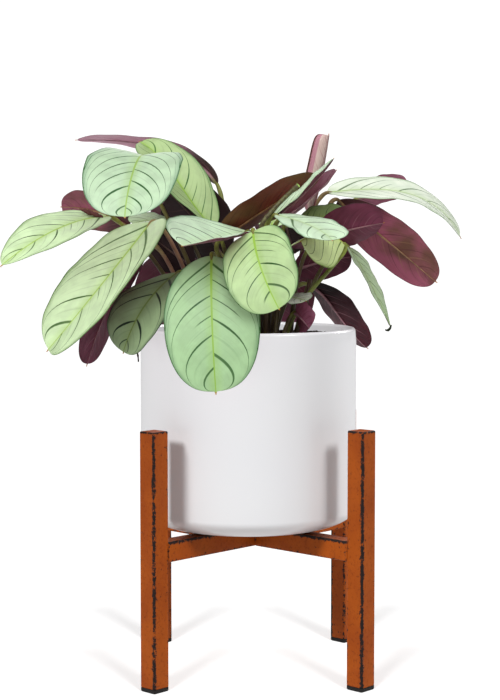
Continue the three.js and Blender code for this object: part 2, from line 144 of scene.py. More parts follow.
# Where each leg stands, in eighths of a turn, and how worn its four long edges are.
BACK_LEG_WEAR = (1.0, 0.75, 0.45, 0.75)
LEGS = dict(
    front_right=(-1, (0.5, 0.5, 1.0, 0.45)),
    back_right=(1, BACK_LEG_WEAR),
    back_left=(3, BACK_LEG_WEAR),
    front_left=(5, (0.5, 0.5, 0.4, 0.92)),
)

CAMERA_LENS = 88.6
CAMERA_PLACE = (-0.042, -1.420, 0.366)
CAMERA_DOWN = 0.0716  # how far down it looks from level, in radians
CAMERA_RIGHT = 0.0305  # and how far right from straight ahead
FLOOR_REACH = 30  # half of the floor's side, in metres

AMBIENT = 0.05  # the sky's light on the object; to the camera the sky is plain white
SKY_SEEN = 1.1
BOUNCE = 0.10  # the floor's light on the object
FLOOR_GLOW = 0.53  # what keeps the floor near white in the camera's view
PLANT_SLOTS = ("leaf_green", "leaf_purple", "leaf_young", "stalk", "soil")
# The upper leaves on the left let the soft lights through, because the ones below them are bright.
LIT_THROUGH = ("leaf_top_left_fine", "leaf_far_left_fine")
# Each light's azimuth, elevation, spread and share, what it falls on and what may shade it.
LIGHTS = [
    ("key_left", -53, 35, 14, 0.68, "ware", "ware"),
    ("key_right", 47, 35, 16, 0.52, "ware", "ware"),
    ("rim_right", 130, 25, 20, 0.46, "ware", "ware"),
    ("soft_left", -48, 24, 40, 0.46, "plant", "open"),
    ("soft_front", 0, 35, 40, 0.34, "plant", "open"),
    ("soft_top", 35, 62, 60, 0.48, "plant", "open"),
    ("soft_back", 180, 10, 50, 0.34, "plant", "open"),
    ("floor_left", -23, 53, 9, 0.36, "floor", "legs"),
    ("floor_right", 23, 53, 9, 0.36, "floor", "legs"),
]


def row(name, rib, face, width, fold, curl, **looks):
    """A leaf as in the part's source: the points of its rib, the way its upper side faces, its
    width, and its fold and curl in degrees."""
    return dict(looks, name="leaf_" + name, rib=rib, face=face, width=width, fold=fold, curl=curl)


# Among a leaf's looks, tone names a colour of the upper side, under one of the underside, and wave
# is how far the edge undulates. Left and right are its side veins.
LEAVES = [
    # Front
    row("front_centre", [[-31, -74, 343], [-31, -104, 296], [-28, -112, 238]], [0, -1, 0.25], 74, 6, -14,
        tone="fresh", wave=0.5,
        left=[(0.05, 0.2, 1), (0.15, 0.35, 1), (0.33, 0.8, 1), (0.48, 0.1, 0.4), (0.615, 0.6, 1),
              (0.83, 0.05, 1)],
        right=[(0.07, 0.3, 1), (0.2, 0.8, 1), (0.345, 0.15, 0.65), (0.5, 1, 1), (0.74, 0.15, 1)]),
    row("front_right", [[1, -94, 362], [6, -114, 335], [20, -124, 303]], [-0.5, -0.75, 0.4], 60, 12, -10,
        base_round=2.4, root=[2, -44], tone="lime", wave=0.8,
        left=[(0.07, 0.1, 1), (0.24, 0.7, 1), (0.41, 0.2, 0.5), (0.55, 0.5, 1), (0.78, 0, 0.4)],
        right=[(0.02, 0.2, 1), (0.14, 0.6, 1), (0.28, 0.1, 0.6), (0.45, 1.2, 1), (0.7, 0.1, 1)]),
    row("centre_pale", [[-2, -36, 362], [-23, -66, 357], [-40, -94, 354], [-54, -120, 351]],
        [0.19, -0.15, 0.97], 64, 27, -6, base_round=1.3, root=[-8, -22], tone="silver", under="rose"),
    row("right_pale", [[20, -64, 375], [47, -86, 366], [61, -108, 355]], [-0.05, -0.14, 0.99], 46, 7, -8,
        root=[13, -34], tone="silver",
        left=[(0.2, 0.3, 1), (0.5, 0.5, 1), (0.78, 0.2, 1)],
        right=[(0.12, 0.2, 1), (0.36, 0.6, 1), (0.62, 0.3, 1), (0.85, 0, 0.5)]),
    row("small_yellow", [[77, -27, 352], [58, -50, 361], [38, -76, 354]], [0.38, -0.18, 0.9], 58, -45, -10,
        root=[30, -28], tone="olive", stalk="green"),
    row("small_grey", [[29, -20, 309], [36, -42, 309], [44, -60, 307]], [0.1, -0.8, 0.6], 24, 6, -6,
        root=[21, -28], tone="pale"),

    # Left
    row("left_low", [[-79, -45, 369], [-118, -80, 319], [-159, -84, 269]], [-0.6, -0.55, 0.58], 80, 12, -4,
        base_round=3.2, root=[-38, -14], tone="yellow", stalk="pink",
        left=[(0.02, 0.1, 1), (0.14, 0.4, 1), (0.27, 0.7, 1), (0.4, 0.1, 0.4), (0.56, 0.7, 1),
              (0.76, 0.3, 1)],
        right=[(0.06, 0.2, 1), (0.2, 0.3, 1), (0.37, 0.6, 1), (0.5, 0.1, 0.4), (0.66, 0.4, 1),
               (0.85, 0, 1)]),
    row("far_left", [[-113, -34, 374], [-150, -84, 364], [-189, -128, 336]], [-0.15, -0.62, 0.78], 50, 8,
        -4, base_round=1.6, tip_round=1.6, tone="yellow"),
    row("left_shaded", [[-58, -40, 329], [-84, -75, 303], [-100, -80, 267]], [-0.45, -0.65, 0.5], 56, 8,
        -6, root=[-26, -28], tone="shade",
        left=[(0.1, 0.3, 1), (0.33, 0.4, 1), (0.66, 1.3, 1), (0.85, 0.2, 1)],
        right=[(0.12, 0.3, 1), (0.3, 0.9, 1), (0.64, 1.3, 1), (0.86, 0.2, 1)]),
    row("left_gap", [[-60, 9, 368], [-78, -1, 371], [-94, -14, 368]], [-0.2, -0.5, 0.8], 34, 4, -6,
        tone="grey"),
    row("left_purple", [[-98, 10, 366], [-126, 10, 379], [-155, 10, 382]], [-0.1, 0.6, 0.75], 48, 4, -10,
        root=[-40, 12], under="maroon"),
    row("left_maroon", [[-82, -4, 350], [-112, -34, 306], [-131, -40, 254]], [-0.7, 0.6, 0.4], 40, 6, -8,
        root=[-46, -2], stalk="pink"),
    row("centre_dark", [[-46, 0, 333], [-63, 2, 345], [-77, 2, 356]], [-0.3, 0.85, 0.4], 36, 6, 0,
        under="dark"),

    # Top
    row("top_left", [[-80, -20, 404], [-86, -62, 421], [-93, -104, 399], [-96, -128, 372]],
        [-0.05, -0.62, 0.78], 76, 14, -10, base_round=1.2, tone="mint",
        left=[(0.1, 0.2, 1), (0.24, 0.5, 1), (0.36, 0.6, 1), (0.46, 0.9, 1), (0.56, 0.6, 0.8),
              (0.69, 1.5, 1), (0.86, 0.4, 0.7)],
        right=[(0.05, 0.1, 1), (0.2, 0.4, 1), (0.33, 0.5, 1), (0.44, 1, 1), (0.54, 0.7, 0.9),
               (0.645, 1.5, 1), (0.775, 1.4, 1), (0.88, 0.2, 0.5)]),
    row("top", [[-29, -18, 365], [-48, -4, 388], [-68, 16, 417], [-91, 38, 437]], [0.42, -0.56, 0.7], 56,
        18, -6, twist=30, tip_round=1.8, tone="moss"),
    row("back_top", [[-25, 60, 402], [-55, 64, 428], [-101, 70, 439], [-147, 74, 440]], [0.05, 0.35, 0.93],
        31, 4, -6, twist=24, root=[-6, 18], under="pink"),
    row("top_shaded", [[-19, 22, 340], [-42, 26, 370], [-66, 28, 394]], [0.1, 0.85, 0.5], 62, 6, -6,
        under="dark"),
    row("upright_brown", [[-24, -29, 355], [12, -32, 380], [57, -34, 406]], [-0.62, 0.47, 0.62], 47, 6, 6,
        base_round=2.4, root=[4, -14], under="brown"),
    row("narrow_green", [[15, -44, 371], [43, -56, 394], [66, -58, 420]], [-0.85, -0.06, 0.5], 28, 12, 0,
        root=[9, -24], tone="silver"),
    row("narrow_purple", [[27, -2, 373], [51, 8, 390], [74, 14, 413]], [-0.75, 0.25, 0.6], 40, 8, 0,
        root=[12, 2], under="rose"),
    row("young_rolled", [[53, 38, 376], [62, 37, 409], [69, 36, 444]], [-0.8, -0.35, 0.2], 38, 4, 160,
        tip_round=6, root=[18, 15], tone="young", under="young", wave=0),

    # Right
    row("far_right", [[70, 60, 395], [110, 70, 398], [154, 80, 390], [190, 92, 355]], [0.25, -0.4, 0.88],
        48, 8, -6, root=[36, 17], tone="pale", stalk="brown"),
    row("right_purple", [[77, 34, 388], [120, 44, 354], [162, 40, 318]], [0.5, 0.75, 0.5], 52, 6, -10,
        root=[46, 9], under="maroon", stalk="brown"),
    row("right_folded", [[57, -8, 356], [83, -14, 364], [111, -10, 369]], [0.1, 0.75, 0.65], 44, 10, 6,
        root=[34, -11], under="plum"),
    row("right_green", [[42, 0, 366], [64, 6, 373], [84, 11, 377]], [0, -0.5, 0.85], 40, 6, -6,
        root=[16, 4], tone="deep_shade"),
    row("right_hanging", [[82, -4, 349], [98, -12, 322], [116, -20, 283]], [0.8, -0.28, 0.5], 41, 10, -8,
        base_round=3, tip_round=1.3, root=[38, -18], tone="grey"),
    row("right_maroon", [[38, 6, 330], [62, 9, 337], [87, 10, 341]], [0.1, 0.9, 0.3], 32, 6, -6,
        root=[20, -2]),
    row("inner_maroon", [[31, -16, 366], [34, -18, 355], [38, -20, 344]], [0.4, 0.8, 0.4], 30, 6, 0,
        root=[22, -11], under="dark"),
    row("low_purple", [[37, -40, 297], [42, -48, 292], [47, -54, 285]], [0.3, 0.8, 0.5], 32, 6, -6, arch=5,
        root=[27, -40], under="rose"),
    row("over_rim", [[52, 42, 317], [69, 52, 304], [85, 60, 283], [106, 66, 260]], [0.6, 0.5, 0.6], 44, 10,
        4, root=[24, 22], under="night"),
    row("back_right_maroon", [[98, 109, 390], [121, 113, 398], [146, 115, 403]], [-0.1, 0.75, 0.6], 32, 6,
        -6, root=[45, 63], under="rose"),

    # Back, which the photograph does not show
    row("back_centre", [[-12, 84, 340], [-14, 112, 296], [-16, 118, 240]], [0, 1, 0.25], 66, 6, -12,
        tone="fresh"),
    row("back_left", [[-48, 62, 350], [-66, 98, 322], [-76, 118, 276]], [-0.4, 0.8, 0.5], 62, 8, -8,
        root=[-24, 24], tone="lime"),
    row("back_upper_left", [[-34, 44, 380], [-54, 88, 385], [-62, 126, 352]], [-0.2, 0.4, 0.9], 54, 8, -8,
        root=[-18, 42], tone="mint"),
    row("back_upper_right", [[20, 44, 365], [30, 86, 372], [36, 124, 345]], [0.1, 0.4, 0.9], 56, 8, -8,
        tone="yellow"),
    row("back_low_left", [[-30, 50, 318], [-38, 88, 300], [-44, 112, 262]], [-0.2, 0.8, 0.5], 50, 6, -8,
        root=[-10, 31], tone="deep_shade"),
    row("back_low_right", [[20, 50, 312], [27, 82, 297], [33, 102, 262]], [0.2, 0.8, 0.5], 42, 6, -8,
        root=[10, 28], tone="fresh"),
    row("back_right", [[36, 66, 336], [40, 98, 318], [44, 116, 276]], [0.3, 0.8, 0.5], 44, 8, -8,
        tone="lime"),
]

CUT_STALK = dict(rib=[[12, -64, 373], [25, -64, 387], [37, -69, 398]], root=[7, -33])
CUT_RADIUS = 1.8 * MM
CUT_HOLE_RADIUS = 1.0 * MM
CUT_DEPTH = 6 * MM
CUT_FLARE = 0.15 * MM

# Where the side veins leave the rib, how much each thickens, and how far out each one runs.
VEINS_LEFT = [(0.03, 0.2, 1), (0.17, 0.5, 1), (0.31, 0.2, 0.6), (0.42, 0.8, 1), (0.61, 0.6, 1),
              (0.8, 0.1, 1)]
VEINS_RIGHT = [(0.08, 0.3, 1), (0.24, 0.7, 1), (0.37, 0.1, 0.5), (0.5, 0.9, 1), (0.7, 0.3, 1),
               (0.86, 0, 1)]
VEIN_FLOOR = -0.3  # the vein coordinate that a colour ramp starts from
VEIN_SPAN = 1.3
VEIN_WIDTH = 0.03  # as a share of the way from one vein to the next
VEIN_THICKENING = 0.024
MOST_SWELL = 1.5  # what a full channel of the ramp stands for
STREAKS = 90.0  # fine lines along the blade

# Colours of the upper side: the blade, its edge, its side veins and its rib. Besides the leaves'
# own greens the tones hold painted light and shade: the darkest tone and shade are greens darkened
# as painted shade for leaves that lie in shade, pale, olive and grey are greens lightened as painted
# light, and mint is lighter and bluer partly as painted sheen.
TONES = dict(
    fresh=((162, 197, 147), (106, 146, 104), (28, 82, 14), (142, 182, 72)),
    lime=((179, 206, 148), (104, 144, 92), (32, 80, 14), (150, 190, 72)),
    moss=((172, 196, 138), (104, 144, 88), (44, 98, 22), (150, 190, 72)),
    silver=((214, 238, 206), (140, 174, 142), (76, 112, 66), (190, 216, 160)),
    mint=((190, 216, 181), (126, 164, 132), (46, 96, 42), (156, 190, 96)),
    yellow=((211, 235, 187), (120, 152, 88), (50, 92, 20), (170, 204, 98)),
    pale=((240, 252, 230), (156, 186, 142), (82, 118, 64), (190, 216, 150)),
    olive=((228, 248, 176), (138, 164, 62), (92, 126, 44), (200, 220, 100)),
    grey=((184, 208, 168), (116, 140, 106), (62, 88, 50), (150, 176, 104)),
    deep_shade=((100, 118, 70), (60, 80, 44), (38, 58, 34), (132, 146, 70)),
    shade=((150, 174, 130), (64, 82, 60), (22, 40, 28), (116, 136, 70)),
    young=((206, 176, 166), (180, 120, 130), (196, 160, 150), (210, 190, 170)),
)
TIP_COLOUR = (186, 128, 62)

# Colours of the underside: the blade, its lighter cloud, its rib, its side veins, and the part near
# its base where that differs. Dark is a plum darkened as painted shade for undersides deep in shade,
# and the dark base parts of pink and night are painted shade as well; rose is a plum lightened as
# painted light for undersides that the lights reach less.
UNDERS = dict(
    plum=((90, 32, 50), (120, 54, 78), (150, 100, 110), (76, 30, 48)),
    rose=((160, 78, 104), (186, 116, 142), (180, 130, 142), (108, 52, 68)),
    pink=((222, 154, 182), (236, 186, 206), (200, 150, 162), (150, 92, 108), (62, 44, 36)),
    maroon=((176, 94, 118), (116, 78, 64), (168, 128, 92), (98, 48, 58), (70, 38, 40)),
    brown=((116, 48, 40), (108, 72, 44), (128, 84, 46), (74, 32, 30)),
    dark=((38, 22, 24), (50, 30, 32), (78, 52, 50), (40, 22, 28)),
    night=((92, 32, 46), (66, 26, 36), (190, 140, 150), (40, 20, 28), (24, 12, 14)),
    young=((204, 176, 168), (222, 204, 194), (150, 96, 92), (176, 112, 118)),
)
UNDER_TIP_COLOUR = (196, 128, 52)

# The rolled leaf's two outer stripes, beside its rib and along its free edge.
YOUNG_STRIPES = ((166, 128, 126), (184, 128, 142))

# Colours of a stalk: at the soil, along it, and at its joint below the blade.
STALKS = dict(
    olive=((66, 38, 36), (92, 84, 48), (136, 142, 62)),
    pink=((96, 58, 56), (156, 118, 92), (158, 142, 92)),
    green=((96, 96, 48), (132, 146, 60), (156, 172, 70)),
    brown=((56, 32, 30), (92, 62, 48), (128, 104, 60)),
)

# Small dried pieces among the leaves: the points of each one's line, how thick it is there in
# millimetres, and its colour.
DRIED = dict(
    rolled_edge=([[-135, -53, 380], [-127, -51, 377], [-117, -47, 373.5]], [0.5, 2.2, 1.3],
                 (112, 68, 66)),
    hanging_bit=([[-92, -84, 274], [-89, -84, 269], [-88, -83, 261]], [0.5, 0.9, 0.5], (52, 40, 36)),
    curled_tip=([[116, -21, 286], [114, -21, 282], [111, -21, 282]], [0.5, 1.2, 0.6], (44, 52, 34)),
)


def linear(colour, factor=1.0):
    """An sRGB colour of 0 to 255, made lighter by a factor, as linear values with alpha."""
    light = (pow((c / 255 + 0.055) / 1.055, 2.4) if c > 10 else c / 255 / 12.92 for c in colour)
    return tuple(min(1.0, c * factor) for c in light) + (1.0,)


# Materials


class Surface:
    """A material with one Principled shader, and short calls for the nodes that feed it."""

    def __init__(self, name, **sockets):
        self.material = bpy.data.materials.new(name)
        self.material.use_nodes = True
        self.tree = self.material.node_tree
        self.shader = self.tree.nodes["Principled BSDF"]
        self.fill(self.shader, **sockets)

    def feed(self, socket, value):
        if isinstance(value, bpy.types.NodeSocket):
            self.tree.links.new(value, socket)
        else:
            socket.default_value = value

    def fill(self, node, **values):
        """Feeds inputs by their names, with _ for a space, and gives the node's first output."""
        for name, value in values.items():
            self.feed(node.inputs[name.replace("_", " ")], value)
        return node.outputs[0]

    def node(self, kind, *values, **settings):
        """A node with these settings, whose first inputs get the values."""
        made = self.tree.nodes.new("ShaderNode" + kind)
        for key, value in settings.items():
            setattr(made, key, value)
        for socket, value in zip(made.inputs, values):
            self.feed(socket, value)
        return made

    def math(self, operation, *values, clamp=False):
        return self.node("Math", *values, operation=operation, use_clamp=clamp).outputs[0]

    def times(self, a, b, plus=0.0, clamp=False):
        return self.math("MULTIPLY_ADD", a, b, plus, clamp=clamp)

    def smooth(self, value, low, high, to_low=0.0, to_high=1.0):
        """Runs smoothly from to_low, where the value is low or less, to to_high."""
        fed = (value, low, high, to_low, to_high)
        return self.node("MapRange", *fed, interpolation_type="SMOOTHSTEP").outputs[0]

    def pick(self, choice, a, b):
        """a where the choice is 0 and b where it is 1."""
        made = self.node("Mix", choice, data_type="FLOAT")
        self.feed(made.inputs[2], a)
        self.feed(made.inputs[3], b)
        return made.outputs[0]

    def painted(self, colour, *layers):
        """Gives the material a colour with layers over it. Each layer has a tint and how much of it
        shows, or else a value and what smooth needs to get that from the value. A colour of three
        numbers is sRGB of 0 to 255, and one of four is linear."""
        colour = linear(colour) if len(colour) == 3 else colour
        for tint, value, *reach in layers:
            made = self.node("Mix", self.smooth(value, *reach) if reach else value, data_type="RGBA")
            self.feed(made.inputs[6], colour)
            self.feed(made.inputs[7], linear(tint) if len(tint) == 3 else tint)
            colour = made.outputs[2]
        self.fill(self.shader, Base_Color=colour)
        return self.material

    def attribute(self, name, output="Fac"):
        return self.node("Attribute", attribute_name=name).outputs[output]

    def place(self):
        return self.node("NewGeometry").outputs["Position"]

    def joined(self, x, y, z):
        return self.node("CombineXYZ", x, y, z).outputs[0]

    def split(self, vector):
        return self.node("SeparateXYZ", vector).outputs

    def noise(self, vector, scale, detail=2.0, roughness=0.5):
        made = self.node("TexNoise")
        return self.fill(made, Vector=vector, Scale=scale, Detail=detail, Roughness=roughness)

    def bump(self, height, strength, distance):
        made = self.node("Bump")
        normal = self.fill(made, Strength=strength, Distance=distance, Height=height)
        self.fill(self.shader, Normal=normal)

    def rough(self, value):
        self.fill(self.shader, Roughness=value)


def vein_ramp(look, coordinate, veins):
    """Red is a vein's number as a share of the count, green its swelling, blue how far it runs."""
    count = len(veins) + 1
    stops = [(VEIN_FLOOR, 0.5, 0, 1)]
    stops += [(q, k + 1, swell, reach) for k, (q, swell, reach) in enumerate(veins)]
    stops += [(1.0, count - 0.5, 0, 1)]
    ramp = look.node("ValToRGB", coordinate)
    elements = ramp.color_ramp.elements
    while len(elements) < len(stops):
        elements.new(0.5)
    for element, (q, number, swell, reach) in zip(elements, stops):
        element.position = (q - VEIN_FLOOR) / VEIN_SPAN
        element.color = (number / count, swell / MOST_SWELL, reach, 1)
    number, swell, length = look.split(ramp.outputs[0])
    return look.times(number, float(count)), look.times(swell, MOST_SWELL), length


def vein_masks(look, across, reach, out, left, right):
    """Masks of the dark side veins and of the fine lines between them."""
    share = look.times(reach, 1 / VEIN_SPAN, -VEIN_FLOOR / VEIN_SPAN, clamp=True)
    sides = [vein_ramp(look, share, veins) for veins in (right, left)]
    on_left = look.math("GREATER_THAN", across, 0.0)
    number, swell, length = (look.pick(on_left, a, b) for a, b in zip(*sides))
    bulge = look.times(look.smooth(out, 0.0, 0.3), look.smooth(out, 0.3, 0.85, 1.0, 0.0))
    bulge = look.times(bulge, swell)
    width = look.times(bulge, VEIN_THICKENING, VEIN_WIDTH)
    near = look.math("PINGPONG", number, 0.5)
    line = look.smooth(near, look.times(width, 0.7), look.times(width, 1.25), 1.0, 0.0)
    fade = look.smooth(out, look.math("SUBTRACT", length, 0.2), length, 1.0, 0.0)
    whole = look.math("GREATER_THAN", length, 0.95)
    line = look.times(line, look.math("MAXIMUM", fade, whole))
    strong = look.times(bulge, 0.2, 0.85, clamp=True)
    between = look.math("PINGPONG", look.math("ADD", number, 0.5), 0.5)
    fine = look.smooth(between, 0.02, 0.05, 1.0, 0.0)
    fine = look.times(fine, look.smooth(out, 0.3, 0.75, 1.0, 0.0))
    return look.times(line, strong), fine


def streaks(look, out, reach, seed):
    """Fine lines that run beside the side veins, as grey around a half."""
    return look.noise(look.joined(look.times(reach, STREAKS), out, float(seed)), 1.0, 1.0)


def leaf_values(look):
    """The place across, along and on the veins, how far out it is, and its distance to the rib."""
    across, forth, reach = look.split(look.attribute("leaf_place", "Vector"))
    return across, forth, reach, look.math("ABSOLUTE", across), look.attribute("leaf_rib")


def upper_material(leaf, seed):
    # Leaves with no tone of their own get the darkest tone, a green darkened as painted shade.
    blade, edge, vein, rib = TONES[leaf.get("tone", "deep_shade")]
    look = Surface(leaf["name"] + "_top", Specular_IOR_Level=0.4)
    across, forth, reach, out, distance = leaf_values(look)
    veins = leaf.get("left", VEINS_LEFT), leaf.get("right", VEINS_RIGHT)
    line, fine = vein_masks(look, across, reach, out, *veins)
    cloud = look.noise(look.place(), 80.0, 3.0)
    half_rib = look.times(forth, -0.8, 1.3)
    look.bump(look.times(line, -0.6, look.times(cloud, 0.5)), 0.25, 0.6 * MM)
    look.rough(look.smooth(cloud, 0.3, 0.7, 0.36, 0.5))
    return look.painted(
        linear(blade, 0.93),
        (linear(blade, 1.07), cloud, 0.35, 0.65),
        (edge, streaks(look, out, reach, seed), 0.5, 0.75, 0.0, 0.1),
        (rib, distance, 1.0, 8.0, 0.3, 0.0),
        (edge, out, 0.84, 0.99, 0.0, 0.6),
        (vein, look.times(fine, 0.14)),
        (vein, line),
        (rib, distance, look.times(half_rib, 0.65), half_rib, 1.0, 0.0),
        (vein, out, 0.962, 0.982, 0.0, 0.75),
        (TIP_COLOUR, forth, 0.978, 0.992),
    )


@functools.cache
def under_material(style):
    blade, cloud_colour, rib, vein, *base = UNDERS[style]
    look = Surface("leaf_under_" + style, Specular_IOR_Level=0.25)
    across, forth, reach, out, distance = leaf_values(look)
    line, fine = vein_masks(look, across, reach, out, VEINS_LEFT, VEINS_RIGHT)
    cloud = look.noise(look.place(), 28.0, 3.0)
    grain = streaks(look, out, reach, 3)
    half_rib = look.times(forth, -0.7, 1.1)
    inner, outer = YOUNG_STRIPES
    stripes = [(inner, out, 0.3, 0.42, 1.0, 0.0), (outer, out, 0.74, 0.78)]
    look.bump(look.times(grain, 0.6, line), 0.3, 0.6 * MM)
    look.rough(look.smooth(cloud, 0.3, 0.7, 0.38, 0.52))
    return look.painted(
        blade,
        (cloud_colour, cloud, 0.4, 0.7),
        (cloud_colour, grain, 0.45, 0.8, 0.0, 0.4),
        *(stripes if style == "young" else []),
        *[(tint, forth, 0.2, 0.42, 0.92, 0.0) for tint in base],
        (vein, look.times(line, 0.55)),
        (rib, look.times(fine, 0.4)),
        (rib, distance, look.times(half_rib, 0.5), half_rib, 0.9, 0.0),
        (vein, out, 0.95, 0.99, 0.0, 0.6),
        (UNDER_TIP_COLOUR, forth, 0.978, 0.992),
    )


@functools.cache
def stalk_material(style, under):
    """Along a stalk the third value of leaf_place runs from 0 at the soil to 1 at the blade, and on
    to 2 at the tip, where the stalk goes on as the rib below the blade."""
    low, middle, joint = STALKS[style]
    look = Surface("stalk_" + style + "_" + under, Roughness=0.4, Specular_IOR_Level=0.4)
    reach = look.split(look.attribute("leaf_place", "Vector"))[2]
    where = look.place()
    x, y = look.split(where)[:2]
    lines = look.noise(look.joined(x, y, 0.0), 900.0)
    look.bump(lines, 0.25, 0.4 * MM)
    return look.painted(
        low,
        (middle, reach, 0.0, 0.5),
        (joint, reach, 0.78, 0.9),
        (UNDERS[under][2], reach, 1.0, 1.1),
        (low, look.noise(where, 160.0, 3.0), 0.35, 0.7, 0.0, 0.45),
        (joint, lines, 0.5, 0.8, 0.0, 0.3),
    )


# Meshes


def add(name, data):
    made = bpy.data.objects.new(name, data)
    bpy.context.scene.collection.objects.link(made)
    return made


def mesh_object(name, points, faces, materials, indices=None):
    mesh = bpy.data.meshes.new(name)
    mesh.from_pydata([tuple(p) for p in points], [], faces)
    for material in materials:
        mesh.materials.append(material)
    if indices is not None:
        mesh.polygons.foreach_set("material_index", indices)
    mesh.polygons.foreach_set("use_smooth", [True] * len(mesh.polygons))
    mesh.validate()
    mesh.update()
    return add(name, mesh)


def store(piece, name, values):
    """An attribute with a number or a vector for each point."""
    values = np.array(values, np.float32)
    kind, field = ("FLOAT", "value") if values.ndim == 1 else ("FLOAT_VECTOR", "vector")
    attribute = piece.data.attributes.new(name, kind, "POINT")
    attribute.data.foreach_set(field, values.ravel())


def settle(piece, slot, *nodes):
    """Names the piece's body and slot, and the nodes whose solids it stands in for."""
    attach(piece, "root")
    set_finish(piece, slot)
    if nodes:
        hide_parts(*nodes)


def place(piece, middle, angle, upright=False):
    """Turns a piece about the vertical and moves it. An upright beam is first stood on its start."""
    matrix = Matrix.Translation(middle) @ Matrix.Rotation(angle, 4, "Z")
    if upright:
        matrix = matrix @ Matrix.Rotation(-pi / 2, 4, "Y")
    piece.data.transform(matrix)


def circle(radius, height, sides):
    angles = [2 * pi * k / sides for k in range(sides)]
    return [(radius * cos(a), radius * sin(a), height) for a in angles]


def bands(rings, sides, start=0, flip=False):
    """The faces between rings of points that follow each other."""
    faces = []
    for i in range(rings - 1):
        for k in range(sides):
            a = start + i * sides + k
            b = start + i * sides + (k + 1) % sides
            faces.append((a, a + sides, b + sides, b) if flip else (a, b, b + sides, a + sides))
    return faces


def fan(centre, start, sides, flip=False):
    """The faces between a middle point and a ring."""
    pairs = [(start + k, start + (k + 1) % sides) for k in range(sides)]
    return [(centre, b, a) if flip else (centre, a, b) for a, b in pairs]


def closed(rings, sides):
    """The faces of a body that rings of points make, with its two flat ends."""
    last = (rings - 1) * sides
    ends = [tuple(reversed(range(sides))), tuple(range(last, last + sides))]
    return bands(rings, sides) + ends


def unit(v):
    v = np.asarray(v, float)
    return v / np.linalg.norm(v)


def rib_point(leaf, t):
    """The smooth curve through the leaf's rib points, which lie at even steps of t."""
    rib = np.array(leaf["rib"], float) * MM
    last = len(rib) - 1
    point = np.zeros(3)
    for i in range(last + 1):
        weight = 1.0
        for j in range(last + 1):
            if j != i:
                weight *= (t * last - j) / (i - j)
        point = point + rib[i] * weight
    return point


def rib_direction(leaf, t):
    step = 0.001
    return unit(rib_point(leaf, t + step) - rib_point(leaf, t - step))


def profile_at(leaf, t):
    """How wide the blade is at t, as a share of its full width."""
    u = 2 * min(t / BLADE_SHARE, 1) - 1
    power = leaf.get("base_round", BASE_ROUND) if u < 0 else leaf.get("tip_round", TIP_ROUND)
    body = max(0.0, 1 - abs(u) ** power) ** (1 / power)
    point = POINT_WIDTH * (1 - t) / POINT_SHARE if t > 1 - POINT_SHARE else 0
    return max(body, point)


def across_at(width, fold, curl, s):
    """One half of the section: how far across and how far up it is at a share s of its width."""
    if abs(curl) < 0.01:
        return width * s * cos(fold), width * s * sin(fold)
    end = fold + curl * s
    return (width / curl * (sin(end) - sin(fold)),
            width / curl * (cos(fold) - cos(end)))


def section(leaf, t):
    """The blade's centre, the direction to its right and its normal at t."""
    forward = rib_direction(leaf, t)
    twist = radians(leaf.get("twist", 0) * (t - 0.5))
    level = unit(np.cross(forward, leaf["face"]))
    up = np.cross(level, forward)
    side = level * cos(twist) + up * sin(twist)
    return rib_point(leaf, t), side, np.cross(side, forward)


def vein_coordinate(t, s):
    """The place on the rib that the side vein through this point of the blade comes from."""
    out = min(abs(s), 0.955)
    return t - VEIN_REACH * atanh(out / 0.97) - VEIN_SWEEP * out * out


def blade(leaf, seed):
    """Points, faces, face materials and the two attributes of the blade, a closed thin shell."""
    rows = [BLADE_SHARE * (1 - cos(pi * i / BLADE_ROWS)) / 2 for i in range(BLADE_ROWS + 1)]
    rows += TIP_ROWS
    shares = [sin(pi / 2 * j / HALF_COLUMNS) for j in range(-HALF_COLUMNS, HALF_COLUMNS + 1)]
    fold = radians(leaf["fold"])
    curl = radians(leaf["curl"])
    half = leaf["width"] * MM / 2
    draw = random.Random(seed)
    left_phase, right_phase, ripple_phase, quilt_phase = (draw.uniform(0, 2 * pi) for _ in range(4))
    wave = leaf.get("wave", 0.7) * MM
    relief = 0.0 if abs(leaf["curl"]) > 90 else 1.0
    upper, lower, places, ribs = [], [], [], []
    for t in rows:
        centre, side, normal = section(leaf, t)
        share = profile_at(leaf, t)
        width = max(half * share, LEAST_HALF_WIDTH)
        for s in shares:
            out, rise = across_at(width, fold, curl, abs(s))
            sign = 0 if s == 0 else copysign(1, s)
            tilt = 0 if s == 0 else fold + curl * abs(s)
            facing = normal * cos(tilt) - side * (sign * sin(tilt))
            reach = vein_coordinate(t, s)
            phase = left_phase if s < 0 else right_phase
            lift = wave * abs(s) ** 3 * share * sin(2 * pi * WAVES * t + phase)
            ripple = sin(2 * pi * RIPPLES * t + ripple_phase * sign)
            lift += RIPPLE_SHARE * wave * abs(s) ** 2 * share * ripple
            quilt = QUILT * cos(2 * pi * reach * QUILT_COUNT + quilt_phase * sign)
            lift += relief * quilt * share * sin(pi * abs(s))
            distance = abs(s) * width
            groove = relief * GROOVE_DEPTH * share * exp(-(distance / GROOVE_WIDTH) ** 2)
            point = centre + side * (sign * out) + normal * rise + facing * (lift - groove)
            thickness = BLADE_THICKNESS * (1 - EDGE_THINNING * abs(s) ** 8)
            upper.append(point + facing * thickness / 2)
            lower.append(point - facing * thickness / 2)
            places.append((s, t, reach))
            ribs.append(distance / MM)
    columns = len(shares)
    total = len(upper)
    faces, indices = [], []
    for i in range(len(rows) - 1):
        for j in range(columns - 1):
            a = i * columns + j
            faces.append((a, a + 1, a + 1 + columns, a + columns))
            faces.append((a + total, a + columns + total, a + 1 + columns + total, a + 1 + total))
            indices += [0, 1]
    edge = [i * columns for i in range(len(rows))]
    edge += [(len(rows) - 1) * columns + j for j in range(1, columns)]
    edge += [i * columns + columns - 1 for i in range(len(rows) - 2, -1, -1)]
    edge += [j for j in range(columns - 2, 0, -1)]
    for a, b in zip(edge, edge[1:] + edge[:1]):
        faces.append((a, b, b + total, a + total))
        indices.append(0)
    return upper + lower, faces, indices, places * 2, ribs * 2


